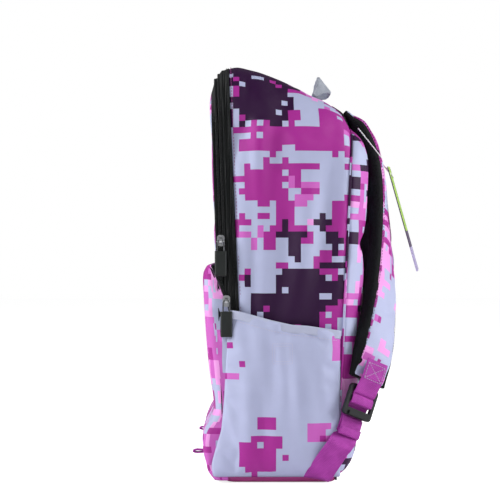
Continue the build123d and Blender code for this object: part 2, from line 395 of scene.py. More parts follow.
def ribbon(name, points, across, width, material, thickness=1.8, passes=8, scale=None, step=1.5):
    path = smooth_path(points, step, passes)
    if scale is not None:
        scale = np.interp(np.linspace(0, 1, len(path)), np.linspace(0, 1, len(scale)), scale)
    section = outline(width / 2, thickness / 2, thickness / 2 - 0.05, flats=8, arcs=3)
    return sweep(name, path, across, section, material, scale)


def join(name, objects):
    """One piece out of several meshes."""
    bpy.ops.object.select_all(action="DESELECT")
    for obj in objects:
        obj.select_set(True)
    bpy.context.view_layer.objects.active = objects[0]
    bpy.ops.object.join()
    objects[0].name = name
    return objects[0]


def stitches(name, path, normal, material, pitch=3.6, length=2.5, radius=0.34, lift=0.25):
    """A row of thread stitches on a path, standing a little proud along normal."""
    path = np.array(path, float)
    run = lengths(path)
    centres = np.arange(pitch / 2, run[-1], pitch)
    if np.ndim(normal) == 1:
        normal = np.broadcast_to(np.asarray(normal, float), path.shape)

    points, faces = [], []
    ring = np.linspace(0, 2 * math.pi, 6, endpoint=False)
    for centre in centres:
        for share, size in ((-0.5, 0.35), (-0.3, 0.95), (0.3, 0.95), (0.5, 0.35)):
            place = at_length(centre + share * length, run, path)
            up = unit(at_length(centre, run, normal))
            ahead = unit(at_length(centre + 0.4, run, path) - at_length(centre - 0.4, run, path))
            side = np.cross(ahead, up)
            for angle in ring:
                high = lift - 0.3 * (size < 0.9) + radius * size * math.sin(angle)
                points.append(place + up * high + side * radius * size * math.cos(angle))
        base = len(points) - 24
        for k in range(3):
            for j in range(6):
                a, b = base + k * 6 + j, base + k * 6 + (j + 1) % 6
                faces.append((a, b, b + 6, a + 6))
        faces.append([base + j for j in range(5, -1, -1)])
        faces.append([base + 18 + j for j in range(6)])
    return new_object(name, points, faces, material, np.zeros((sum(map(len, faces)), 2)))


def pressed(points, obj, sign):
    """The points moved along x onto a piece's outside."""
    tree = BVHTree.FromPolygons([v.co for v in obj.data.vertices], [p.vertices for p in obj.data.polygons])
    result = []
    for point in points:
        hit = tree.ray_cast((sign * 0.3, point[1] * MM, point[2] * MM), (-sign, 0, 0))[0]
        result.append((hit[0] / MM, point[1], point[2]) if hit else tuple(point))
    return np.array(result)


def teeth(name, path, across, normal, material, pitch=1.6, size=(0.55, 1.5, 0.8)):
    """Zipper coil: a row of rounded turns across a path. size is half along, half across and half high."""
    path = np.array(path, float)
    run = lengths(path)
    points, faces = [], []
    shape = [(-1, 0.0), (-0.75, 0.8), (0, 1.0), (0.75, 0.8), (1, 0.0)]
    for centre in np.arange(pitch / 2, run[-1], pitch):
        place, wide, up = (at_length(centre, run, values) for values in (path, across, normal))
        wide, up = unit(wide), unit(up)
        ahead = np.cross(wide, up)
        base = len(points)
        for share, high in shape:
            for side in (-1, -0.5, 0.5, 1):
                rise = high * (1.0 if abs(side) < 1 else 0.35)
                spot = place + wide * size[1] * share + ahead * size[0] * side
                points.append(spot + up * size[2] * (rise - 0.3))
        for k in range(len(shape) - 1):
            for j in range(3):
                a = base + k * 4 + j
                faces.append((a, a + 1, a + 5, a + 4))
            faces.append((base + k * 4 + 3, base + k * 4, base + k * 4 + 4, base + k * 4 + 7))
    return new_object(name, points, faces, material, np.zeros((sum(map(len, faces)), 2)))


# ---------------------------------------------------------------- materials


def srgb(red, green, blue):
    def channel(value):
        value /= 255
        return value / 12.92 if value <= 0.04045 else ((value + 0.055) / 1.055) ** 2.4

    return (channel(red), channel(green), channel(blue), 1.0)


LAVENDER = srgb(190, 196, 230)
LIGHT_PINK = srgb(248, 166, 238)
ROSE = srgb(214, 104, 202)
MAGENTA = srgb(178, 44, 156)
PURPLE = srgb(46, 3, 56)


class Shader:
    """A material's node tree, with short calls for the nodes used here."""

    def __init__(self, name):
        self.material = bpy.data.materials.new(name)
        self.material.use_nodes = True
        self.tree = self.material.node_tree
        self.surface = self.tree.nodes["Principled BSDF"]

    def put(self, socket, value):
        if isinstance(value, bpy.types.NodeSocket):
            self.tree.links.new(value, socket)
        elif value is not None:
            socket.default_value = value

    def math(self, operation, a, b=None, clamp=False):
        node = self.tree.nodes.new("ShaderNodeMath")
        node.operation = operation
        node.use_clamp = clamp
        for socket, value in zip(node.inputs, (a, b)):
            self.put(socket, value)
        return node.outputs[0]

    def times(self, a, b, clamp=False):
        return self.math("MULTIPLY", a, b, clamp)

    def plus(self, a, b):
        return self.math("ADD", a, b)

    def minus(self, a, b):
        return self.math("SUBTRACT", a, b)

    def vector(self, operation, a, b=None, scale=None):
        node = self.tree.nodes.new("ShaderNodeVectorMath")
        node.operation = operation
        self.put(node.inputs[0], a)
        self.put(node.inputs[1], b)
        if scale is not None:
            self.put(node.inputs["Scale"], scale)
        return node.outputs["Value" if operation == "DOT_PRODUCT" else "Vector"]

    def noise(self, where, scale, detail=2.0, rough=0.5):
        node = self.tree.nodes.new("ShaderNodeTexNoise")
        self.put(node.inputs["Vector"], where)
        node.inputs["Scale"].default_value = scale
        node.inputs["Detail"].default_value = detail
        node.inputs["Roughness"].default_value = rough
        return node.outputs[0]

    def mix(self, amount, a, b):
        node = self.tree.nodes.new("ShaderNodeMix")
        node.data_type = "RGBA"
        self.put(node.inputs["Factor"], amount)
        self.put(node.inputs["A"], a)
        self.put(node.inputs["B"], b)
        return node.outputs["Result"]

    def step(self, value, low, high):
        node = self.tree.nodes.new("ShaderNodeMapRange")
        node.interpolation_type = "SMOOTHSTEP"
        self.put(node.inputs["Value"], value)
        node.inputs["From Min"].default_value = low
        node.inputs["From Max"].default_value = high
        return node.outputs["Result"]

    def uv(self):
        return self.tree.nodes.new("ShaderNodeUVMap").outputs[0]

    def place(self):
        return self.tree.nodes.new("ShaderNodeTexCoord").outputs["Object"]

    def parts(self, where):
        node = self.tree.nodes.new("ShaderNodeSeparateXYZ")
        self.put(node.inputs[0], where)
        return node.outputs

    def bump(self, height, distance, strength=1.0, normal=None):
        node = self.tree.nodes.new("ShaderNodeBump")
        self.put(node.inputs["Height"], height)
        node.inputs["Distance"].default_value = distance
        node.inputs["Strength"].default_value = strength
        self.put(node.inputs["Normal"], normal)
        return node.outputs["Normal"]

    def finish(self, **inputs):
        names = {
            "color": "Base Color",
            "rough": "Roughness",
            "metal": "Metallic",
            "normal": "Normal",
            "sheen": "Sheen Weight",
            "specular": "Specular IOR Level",
            "coat": "Coat Weight",
        }
        for key, value in inputs.items():
            self.put(self.surface.inputs[names[key]], value)
        return self.material


def weave(shader, where, pitch=0.5, depth=0.00008):
    """Plain weave: over-and-under threads across both directions."""
    turns = 2 * math.pi / (pitch * MM)
    axis = shader.parts(where)
    a = shader.math("SINE", shader.times(axis[0], turns))
    b = shader.math("SINE", shader.times(axis[1], turns))
    return shader.bump(shader.times(a, b), depth, 0.5)


def camo(name, shift, boxes=(), amounts=(0.0, 0.0, 0.0, 0.0), maze=0.5):
    """Satin polyester with a print of squares in clusters.
    boxes are (tone, y low, y high, z low, z high, weight) on the flat panel.
    tone is purple, magenta, pink or plain.
    amounts shift the share of purple, magenta, rose and light pink."""
    s = Shader(name)
    uv = s.uv()
    cell = s.vector("FLOOR", s.vector("SCALE", uv, scale=1 / (SQUARE * MM)))
    centre = s.vector("SCALE", s.vector("ADD", cell, (0.5, 0.5, 0.0)), scale=SQUARE * MM)
    where = s.vector("ADD", centre, (shift, shift * 0.7, shift * 1.3))
    along, across, _ = s.parts(centre)

    def from_middle(value, low, high):
        off = s.math("ABSOLUTE", s.minus(value, (low + high) / 2 * MM))
        return s.math("DIVIDE", off, (high - low) / 2 * MM)

    fields = {}
    for tone in ("purple", "magenta", "pink", "plain"):
        total = None
        for kind, y_low, y_high, z_low, z_high, weight in boxes:
            if kind != tone:
                continue
            reach = s.math("MAXIMUM", from_middle(along, z_low, z_high), from_middle(across, y_low, y_high))
            share = s.times(s.minus(1.3, reach), 1.8, clamp=True)
            share = s.times(share, weight)
            total = share if total is None else s.plus(total, share)
        fields[tone] = total

    def layer(tone, offset, scale, level, others=()):
        moved = s.vector("ADD", where, offset)
        wide = s.noise(moved, scale, 1.0, 0.5)
        level_bars = s.noise(s.vector("MULTIPLY", moved, (1.0, 0.34, 1.0)), 86, 0.0)
        upright_bars = s.noise(s.vector("MULTIPLY", moved, (0.34, 1.0, 1.0)), 86, 0.0)
        fine = s.minus(s.math("MAXIMUM", level_bars, upright_bars), 0.07)
        value = s.plus(s.times(wide, 1 - maze), s.times(fine, maze))
        if fields.get(tone) is not None:
            value = s.plus(value, fields[tone])
        for other in others:
            if fields.get(other) is not None:
                value = s.minus(value, fields[other])
        return s.math("GREATER_THAN", value, level)

    color = s.mix(layer(None, (5.1, 0, 0), 26, 0.525 - amounts[3], ("plain",)), LAVENDER, LIGHT_PINK)
    color = s.mix(layer("pink", (0, 7.3, 0), 24, 0.53 - amounts[2], ("plain", "purple")), color, ROSE)
    color = s.mix(layer("magenta", (0, 0, 3.9), 19, 0.52 - amounts[1], ("plain",)), color, MAGENTA)
    purple = layer("purple", (9.7, 2.2, 0), 16, 0.565 - amounts[0], ("plain", "magenta", "pink"))
    color = s.mix(purple, color, PURPLE)
    chance = s.tree.nodes.new("ShaderNodeTexWhiteNoise")
    s.put(chance.inputs["Vector"], cell)
    color = s.mix(s.math("GREATER_THAN", chance.outputs[0], 0.985), color, LAVENDER)
    color = s.mix(s.math("LESS_THAN", chance.outputs[0], 0.01), color, MAGENTA)
    drift = s.noise(uv, 60, 3)
    color = s.mix(s.times(drift, 0.10), color, (0.02, 0.01, 0.02, 1))
    normal = weave(s, uv)
    normal = s.bump(s.noise(uv, 55, 3, 0.55), 0.0011, 0.35, normal)
    rough = s.plus(s.times(drift, 0.16), 0.36)
    return s.finish(color=color, rough=rough, normal=normal, sheen=0.0, specular=0.26)


def cloth_material(name, color, other, rough=0.6, pitch=0.7):
    """Plain woven cloth, patchy between two colours."""
    s = Shader(name)
    uv = s.uv()
    patchy = s.noise(uv, 70, 4, 0.6)
    normal = s.bump(s.noise(uv, 120, 3), 0.0006, 0.3, weave(s, uv, pitch, 0.0001))
    return s.finish(color=s.mix(patchy, color, other), rough=rough, normal=normal, sheen=0.04, specular=0.3)


def webbing_material(name, dark, light, pitch=1.5):
    """Ribbed tape: a herringbone of ribs across its length, with a painted highlight that makes the rib
    crests lighter, and random patches of tone.
    """
    s = Shader(name)
    uv = s.uv()
    along, across, _ = s.parts(uv)
    repeat = s.math("FRACT", s.times(across, 1 / (6 * MM)))
    zigzag = s.math("ABSOLUTE", s.minus(repeat, 0.5))
    slanted = s.plus(along, s.times(zigzag, 3 * MM))
    ribs = s.math("SINE", s.times(slanted, 2 * math.pi / (pitch * MM)))
    threads = s.math("SINE", s.times(across, 2 * math.pi / (0.8 * MM)))
    height = s.plus(ribs, s.times(threads, 0.5))
    # painted highlight: the rib crests are lighter; the noise adds random patches of tone
    crest_highlight_and_tone = s.plus(s.times(height, 0.25), s.times(s.noise(uv, 90, 3), 0.9))
    normal = s.bump(height, 0.0002, 0.7)
    return s.finish(color=s.mix(crest_highlight_and_tone, dark, light), rough=0.5, normal=normal, sheen=0.04, specular=0.3)


def tape_material(name):
    """Black zipper tape with fine ribs along its length. The cord crests are painted lighter as a highlight,
    and a faint green sheen is painted into the colour in patches.
    """
    s = Shader(name)
    uv = s.uv()
    along, across, _ = s.parts(uv)
    cords = s.math("SINE", s.times(across, 2 * math.pi / (2.6 * MM)))
    fine = s.math("SINE", s.times(along, 2 * math.pi / (0.9 * MM)))
    height = s.plus(s.times(cords, 1.2), s.times(fine, 0.35))
    # painted highlight: the crests of the cords are lighter
    color = s.mix(s.step(cords, 0.2, 1.0), srgb(2, 4, 5), srgb(11, 17, 20))
    # painted sheen: faint green patches in the colour
    color = s.mix(s.times(s.noise(uv, 60, 3), 0.4), color, srgb(5, 15, 15))
    return s.finish(color=color, rough=0.45, normal=s.bump(height, 0.00035, 0.8), sheen=0.02, specular=0.3)


def mesh_material(name):
    """Black spacer mesh: small open dimples over a soft knit."""
    s = Shader(name)
    where = s.uv()
    cells = s.tree.nodes.new("ShaderNodeTexVoronoi")
    s.put(cells.inputs["Vector"], where)
    cells.inputs["Scale"].default_value = 420
    hole = s.step(cells.outputs["Distance"], 0.25, 0.5)
    # painted shade: the dimples are darker than the knit round them
    color = s.mix(hole, srgb(1, 2, 3), srgb(8, 11, 15))
    return s.finish(color=color, rough=0.75, normal=s.bump(hole, 0.0004, 0.7), sheen=0.02, specular=0.2)


def hard_material(name, color, worn, rough, metal=0.0, grain=900, wear=0.35):
    """Moulded or painted piece: fine grain, uneven gloss and paler worn edges."""
    s = Shader(name)
    where = s.place()
    edge = s.tree.nodes.new("ShaderNodeNewGeometry").outputs["Pointiness"]
    patchy = s.noise(where, 160, 4, 0.6)
    uneven = s.plus(edge, s.times(patchy, 0.05))
    worn_edge = s.times(s.step(uneven, 0.53, 0.60), wear)
    base = s.mix(s.times(patchy, 0.35), color, worn)
    roughness = s.plus(s.times(patchy, 0.2), rough - 0.1)
    normal = s.bump(s.noise(where, grain, 2), 0.0001, 0.35)
    return s.finish(color=s.mix(worn_edge, base, worn), rough=roughness, metal=metal, normal=normal)


def tag_material():
    """Coated swing card: green upper part with a wavy line, a dark purple band and a lavender foot."""
    s = Shader("tag_card")
    where = s.place()
    hole = (62 * MM, 121.8 * MM, 331.8 * MM)
    offset = s.vector("SUBTRACT", where, hole)
    down = s.vector("DOT_PRODUCT", offset, (0, 0.27, -0.963))
    sideways = s.vector("DOT_PRODUCT", offset, (0.99, -0.134, -0.038))
    wave = s.times(s.math("SINE", s.times(down, 210)), 6 * MM)
    beside = s.math("ABSOLUTE", s.minus(wave, sideways))
    color = s.mix(s.step(beside, 2.2 * MM, 3.0 * MM), srgb(74, 150, 60), srgb(196, 246, 60))
    edge = s.math("GREATER_THAN", s.math("ABSOLUTE", sideways), 17.5 * MM)
    color = s.mix(edge, color, srgb(46, 34, 66))
    color = s.mix(s.math("GREATER_THAN", down, 66 * MM), color, srgb(66, 26, 92))
    color = s.mix(s.math("GREATER_THAN", down, 84 * MM), color, srgb(190, 178, 226))
    color = s.mix(s.times(s.noise(where, 300, 3), 0.12), color, (1, 1, 1, 1))
    return s.finish(color=color, rough=0.35, normal=s.bump(s.noise(where, 500, 2), 0.00005, 0.3), coat=0.2)


SIDE_BOXES = (
    ("purple", -60, 12, 376, 470, 0.3),
    ("plain", 4, 40, 376, 412, 0.06),
    ("magenta", 42, 76, 348, 400, 0.10),
    ("magenta", -48, 34, 352, 374, 0.13),
    ("plain", -46, 40, 341, 348, 0.12),
    ("magenta", -50, 34, 258, 338, 0.045),
    ("plain", 40, 76, 306, 346, 0.12),
    ("magenta", 52, 76, 266, 304, 0.14),
    ("plain", -50, -6, 204, 246, 0.09),
    ("purple", 0, 74, 164, 280, 0.125),
    ("purple", -36, 30, 160, 218, 0.17),
    ("plain", -48, -34, 160, 204, 0.14),
)
print_side = camo("print_side", 0.31, SIDE_BOXES, (-0.075, -0.02, -0.10, -0.12), 0.62)
print_front = camo("print_front", 2.17, (), (-0.04, -0.01, 0.0, -0.02), 0.5)
print_pocket = camo("print_pocket", 4.6, (), (-0.08, -0.03, 0.0, 0.02), 0.5)
print_back = camo("print_back", 7.9, (), (-0.02, -0.02, -0.05, -0.06), 0.55)
STRAP_BOXES = (("magenta", -40, 40, 268, 335, 0.05), ("plain", -60, 60, 60, 236, 0.05))
print_strap = camo("print_strap", 3.35, STRAP_BOXES, (-0.09, -0.05, -0.03, 0.02), 0.6)
POUCH_BOXES = (
    ("magenta", -46, -4, 10, 50, 0.34),
    ("magenta", -26, -8, 60, 70, 0.3),
    ("pink", 22, 70, 44, 68, 0.34),
    ("pink", 52, 66, 128, 158, 0.34),
    ("pink", -58, -46, 96, 170, 0.2),
)
print_pouch = camo("print_pouch", 5.52, POUCH_BOXES, (-0.4, -0.26, -0.24, -0.3), 0.5)
pink_cloth = cloth_material("pink_cloth", srgb(214, 92, 168), srgb(190, 64, 146), 0.55)
lining_cloth = cloth_material("lining_cloth", srgb(86, 84, 96), srgb(62, 60, 72), 0.7, 0.6)
hem_cloth = cloth_material("hem_cloth", srgb(196, 200, 224), srgb(176, 182, 210), 0.55, 0.8)
black_tape = tape_material("black_tape")
black_mesh = mesh_material("black_mesh")
pink_webbing = webbing_material("pink_webbing", srgb(150, 36, 144), srgb(204, 78, 196))
grey_webbing = webbing_material("grey_webbing", srgb(140, 146, 160), srgb(198, 203, 214), 1.8)
coil = hard_material("zipper_coil", srgb(4, 5, 7), srgb(22, 26, 28), 0.4)
buckle = hard_material("buckle_plastic", srgb(3, 5, 7), srgb(24, 29, 33), 0.42)
slider_metal = hard_material("slider_metal", srgb(58, 60, 64), srgb(206, 208, 212), 0.3, 1.0, wear=0.9)
rubber = hard_material("pull_rubber", srgb(3, 5, 5), srgb(30, 38, 37), 0.5, grain=1400)
string = hard_material("tag_string", srgb(238, 240, 238), srgb(255, 255, 255), 0.4, grain=2600)
thread_dark = cloth_material("thread_dark", srgb(120, 40, 104), srgb(150, 60, 128), 0.6, 0.4)
thread_black = cloth_material("thread_black", srgb(24, 26, 28), srgb(48, 50, 54), 0.6, 0.4)
thread_pale = cloth_material("thread_pale", srgb(214, 210, 228), srgb(190, 186, 210), 0.6, 0.4)
card = tag_material()


# ---------------------------------------------------------------- the main bag


def side_and_top():
    """Printed gusset: one strip from the base up the side, over the top and down the other side."""
    creases = ((0.07, 0.03, 2.4), (0.14, 0.04, -2.2), (0.24, 0.05, 1.6))
    tt, vv = table(arch_steps(52, 12, 34), np.linspace(0, 1, 22))
    points, _ = around(tt, vv, seam_y, rear_y)
    y, z = points[..., 1], points[..., 2]
    on_side = (tt < 1) | (tt > 4)
    swollen = swell(vv, 2.4) * np.where(on_side, 1.0 + 2.6 * np.clip((z - COVERED) / 120, 0, 1), 0.6)
    folds = ripples(y, z * 0.4, 11, short=24, long=80) * swell(vv, 6)
    folds = folds * np.where(on_side & (z > COVERED), 2.1, 0.3)
    folds = folds + ridged(vv, creases) * np.where(on_side, 1.0, 0.35)
    points, uv = around(tt, vv, seam_y, rear_y, swollen + folds)
    obj = grid("gusset_cloth", points, uv, print_side)
    under_handle = (tt > 1.6) & (tt < 3.4) & (y > 20)
    settle(obj, pinned_points(z.shape, under_handle | (z < COVERED)), 4.0, pressure=0.6, slack=0.02)
    subdivide(obj)
    thicken(obj, 1.4, lining_cloth)
    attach(obj, "bag")
    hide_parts("side_gusset")


def band(name, front, rear, ridges):
    """Black band round the bag between two leaning lines, with ridges along it."""
    tt, vv = table(arch_steps(60, 16, 40), np.linspace(0, 1, 33))
    level, _ = around(tt, vv, front, rear)
    over_top = np.clip(1.9 - 1.1 * np.abs(tt - 2.5), 0, 1)
    lift = 0.3 + ridged(vv, ridges) * np.clip((level[..., 2] - COVERED) / 60, 0.15, 1) * (1 - 0.75 * over_top)
    points, uv = around(tt, vv, front, rear, lift)
    return thicken(grid(name, points, uv, black_tape), 1.5)


def zipper_bands():
    """The two black bands, the zipper coil of each half, and the stitching on both sides of the rear seam."""
    gap = 0.6
    rear_ridges = ((0.12, 0.05, 0.7), (0.42, 0.07, 1.3), (0.93, 0.07, 1.6))
    rear = band("zipper_band_rear_tape", beside(zipper_y, gap), seam_y, rear_ridges)
    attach(rear, "bag")
    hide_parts("zipper_band_rear")
    front_ridges = ((0.08, 0.12, 1.4), (0.8, 0.1, 0.6))
    front = band("zipper_band_front_tape", beside(front_y, 0.4), beside(zipper_y, -gap), front_ridges)
    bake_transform(front)
    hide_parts("zipper_band_lower", "zipper_band_flap")
    t = arch_steps(240, 40, 120)
    for name, shift, body, node in (
        ("coil_rear", 1.9, "bag", "main_zipper_chain_rear"),
        ("coil_flap", -1.9, "front_flap", "main_zipper_chain_flap"),
    ):
        points, normal = line_round(t, beside(zipper_y, shift), 0.9)
        above = points[:, 2] > 244
        across = np.broadcast_to((0, 1.0, 0), normal[above].shape)
        row = teeth(name, points[above], across, normal[above], coil)
        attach(row, body)
        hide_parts(node)
    for name, shift, thread in (
        ("seam_stitch_print", 2.2, thread_dark),
        ("seam_stitch_tape", -2.6, thread_black),
    ):
        points, normal = line_round(t, beside(seam_y, shift), 1.0)
        row = stitches(name, points, normal, thread)
        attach(row, "bag")


def front_cloth():
    """Printed front panel, one cloth from the base to the top edge."""
    tt, uu = table(np.linspace(0, 1, 60), np.linspace(-1, 1, 46))
    x = HALF_WIDTH * np.sign(uu) * (1 - (1 - np.abs(uu)) ** 1.35)
    z_top = rounded_top(x, top_height(-75.5))
    z = 4 + (z_top - 4) * tt
    edge = swell(tt, 10) * swell((uu + 1) / 2, 8)
    above = np.clip((z - 236) / 60, 0, 1)
    depth = edge * (0.6 + above * (4.5 + 1.4 * ripples(x, z, 5, short=40, long=140)))
    points = np.stack([x * (1 - 0.001), front_y(z) - depth + 0.3, z], -1)
    obj = grid("front_cloth", points, np.stack([z, x], -1) * MM, print_front)
    settle(obj, pinned_points(z.shape, z < 245), 4.0, pressure=-0.5, slack=0.02)
    subdivide(obj)
    thicken(obj, 1.4, lining_cloth)
    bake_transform(obj)
    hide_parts("front_panel_upper", "lower_front_panel")


def base():
    """Pink base: a shallow tray with rounded edges."""
    half_depth, middle_y, radius = 58.0, -2, 8
    corners = []
    for cx, cy, first in ((142, 50, 0), (-142, 50, 90), (-142, -54, 180), (142, -54, 270)):
        for k in range(8):
            angle = math.radians(first + 90 * k / 7)
            corners.append((cx + radius * math.cos(angle), cy + radius * math.sin(angle)))
    corners = np.array(corners)
    inside = ((60, 3.2), (12, 3.0), (5, 3.4), (2.4, 5), (1.6, 9), (0.2, 10.5))
    outside = ((0, 9.5), (0, 6), (1.2, 2.6), (3.5, 0.8), (8, 0.15), (14, 0.1), (60, 0.6))
    levels = inside + outside
    rings = []
    for inset, z in levels:
        x = corners[:, 0] * ((HALF_WIDTH - inset) / HALF_WIDTH)
        y = (corners[:, 1] - middle_y) * ((half_depth - min(inset, 50)) / half_depth) + middle_y
        rings.append(np.stack([x, y, np.full(len(corners), z)], -1))
    points = np.array(rings)
    run = np.linspace(0, 0.8, len(corners) + 1)
    down = np.linspace(0, 0.12, len(levels))
    uv = np.stack(table(down, run), -1)
    obj = grid("base_cloth", points, uv, pink_cloth, wrap=True)
    close_ends(obj, len(levels), len(corners))
    subdivide(obj)
    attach(obj, "bag")
    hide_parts("base_panel")


def back_pad():
    """Padded back: a stuffed pillow sewn round its edge, with a channel down its middle and two across."""
    cross_seams = (130, 255)
    tt, uu = table(np.linspace(0, 1, 74), np.linspace(-1, 1, 56))
    x = HALF_WIDTH * uu
    z_top = rounded_top(x, 378)
    z = 7 + (z_top - 7) * tt
    edge_x = np.clip((1 - np.abs(uu)) * HALF_WIDTH / 30, 0, 1)
    edge_z = np.clip(np.minimum(tt, 1 - tt) * 370 / 34, 0, 1)
    dome = np.sqrt(1 - (1 - edge_x) ** 2) * np.sqrt(1 - (1 - edge_z) ** 2)
    channel = 7.0 * bump_at(x, 0, 7) * np.clip((340 - z) / 30, 0, 1) * np.clip((z - 30) / 30, 0, 1)
    cross = 5.0 * sum(bump_at(z, level, 6) for level in cross_seams) * np.clip((140 - np.abs(x)) / 25, 0, 1)
    depth = 16.5 * dome - (channel + cross) * dome + 0.6 * ripples(x, z, 3, short=40, long=110) * dome
    points = np.stack([x, rear_y(z) + 0.3 + depth, z - depth * 0.045], -1)
    obj = grid("back_pad_cloth", points, np.stack([z, x], -1) * MM, print_back, flip=True)
    sewn = (np.abs(x) < 3) & (z > 45) & (z < 330)
    for height in cross_seams:
        sewn |= (np.abs(z - height) < 3) & (np.abs(x) < 125)
    settle(obj, pinned_points(z.shape, sewn), 4.5, pressure=2.4, slack=0.015)
    subdivide(obj)
    thicken(obj, 1.4, lining_cloth)
    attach(obj, "bag")
    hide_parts("back_panel", "back_foam")
    rim = arch_steps(60, 14, 40)
    path, _ = line_round(rim, beside(rear_y, -0.2), 1.0)
    across = np.broadcast_to((0, 1.0, 0), path.shape)
    piping = sweep("rear_piping", path, across, outline(1.3, 1.3, 1.2, flats=2, arcs=3), print_back)
    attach(piping, "bag")


# ---------------------------------------------------------------- pockets

POCKET_Z = (3, 12, 24, 40, 54, 66, 77, 92, 115, 140, 173, 205, 222, 231)
POCKET_Y = (-72, -78, -81, -84, -82.5, -75, -70, -71.5, -75, -77.5, -80, -82, -83, -80)


def hug_sides(obj, reach):
    """Keeps a piece within reach of the middle plane, where other pieces pass its sides."""
    count = len(obj.data.vertices)
    flat = np.empty(count * 3)
    obj.data.vertices.foreach_get("co", flat)
    place = flat.reshape(-1, 3)
    limit = np.where(place[:, 2] > 0.17, reach - 1.4, reach) * MM
    place[:, 0] = np.clip(place[:, 0], -limit, limit)
    obj.data.vertices.foreach_set("co", place.ravel())
    obj.data.update()


def front_pocket():
    """Front pocket: one cloth round both sides and the front, sagging over its contents."""
    rows, side, corner, face = 54, 8, 7, 44
    z_line = np.r_[np.linspace(3, 231, rows), [231.6, 231.8]]
    back_in = np.r_[np.zeros(rows), [3.0, 6.0]]
    zz, ss = table(z_line, arch_steps(side, corner, face))
    drop = np.broadcast_to(back_in[:, None], zz.shape)
    radius = 9.0
    x_side = np.interp(zz, (0, 140, 178, 231), (152.8, 152.6, 151.3, 151.3))
    y_front = np.interp(zz, POCKET_Z, POCKET_Y)
    y_rear = np.where(zz > 186, -57 - 19 * (zz - 186) / 45, -57.0)
    y_turn = np.minimum(y_front + radius, y_rear - 0.6)
    flat = x_side - radius
    a, b = (ss - 1) * math.pi / 2, (ss - 3) * math.pi / 2
    x = by_part(
        ss,
        x_side + 0 * ss,
        flat + radius * np.cos(a),
        flat - 2 * flat * (ss - 2),
        -flat - radius * np.sin(b),
        0 * ss - x_side,
    )
    y = by_part(
        ss,
        y_rear + (y_turn - y_rear) * ss,
        y_turn - (y_turn - y_front) * np.sin(a),
        y_front,
        y_turn - (y_turn - y_front) * np.cos(b),
        y_turn + (y_rear - y_turn) * (ss - 4),
    )
    bulge = np.where((ss > 2) & (ss < 3), swell((ss - 2), 2.0), 0)
    folds = ripples(x, zz * 1.6, 21, short=45, long=150)
    y = y + drop - bulge * (0.6 + 0.7 * folds) * swell((zz - 3) / 229, 8)
    y = np.minimum(y, front_y(zz) - 2.2 + 100 * (ss < 1.2) + 100 * (ss > 3.8))
    outward = np.where(ss < 1, 1, np.where(ss > 4, -1, 0))
    x = x + outward * 0.3 * folds * swell(np.clip(np.where(ss < 1, ss, 5 - ss), 0, 1), 2)
    length = by_part(
        ss,
        y_rear - y,
        26 + radius * a,
        40 + (flat - x),
        40 + 2 * flat + radius * b,
        54 + 2 * flat + (y - y_turn),
    )
    points = np.stack([x, y, zz], -1)
    obj = grid("front_pocket_cloth", points, np.stack([zz, length], -1) * MM, print_pocket, flip=True)
    settle(obj, pinned_points(zz.shape, (zz > 228) | (zz < 6)), 2.2, pressure=0.5, slack=0.03)
    hug_sides(obj, 153.2)
    subdivide(obj)
    thicken(obj, 1.2, lining_cloth)
    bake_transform(obj)
    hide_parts("front_pocket_panel", "pocket_lip_panel")
    tape_line = [(x, -73.2, 231.2) for x in (-149, 0, 149)]
    tape = ribbon("pocket_top_tape", tape_line, (0, 1, 0.1), 5, black_tape, 1.4, step=6)
    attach(tape, "bag")
    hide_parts("pocket_top_band")
    pieces = []
    for name, sign in SIDES:
        path = smooth_path([(sign * 151.2, -55.2, 184), (sign * 151.2, -73.6, 230)], 1.0, 0)
        normal = np.broadcast_to((float(sign), 0, 0), path.shape)
        across = np.broadcast_to((0, 0.92, 0.39), path.shape)
        pieces.append(teeth("pocket_coil_" + name, path, across, normal, coil))
        section = outline(3.4, 0.6, 0.5, flats=3, arcs=2)
        pieces.append(sweep("pocket_tape_" + name, path - normal * 0.9, across, section, black_tape))
    chain = join("pocket_zipper", pieces)
    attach(chain, "bag")
    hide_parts("pocket_zipper_chain")
    tabs = []
    folded = ((-79, 31.8), (-92, 32.6), (-96, 31), (-92, 29.4), (-79, 30.2))
    for _, sign in SIDES:
        loop = [(sign * 121, y, z) for y, z in folded]
        tabs.append(ribbon("tab", loop, (1, 0, 0), 10, pink_webbing, 1.4, 5, step=0.8))
    both = join("front_ribbon_tabs", tabs)
    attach(both, "bag")
    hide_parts("front_tabs")


MOUTH_SHARE = (0, 0.09, 0.17, 0.37, 0.56, 0.7, 1)  # across a side pocket, from the front
MOUTH_Z = (183, 181.5, 179, 172.5, 167.5, 166.5, 161)
POUCH_X = 153.4  # where a side pocket is sewn to the side
POUCH_DEPTH = 12.4


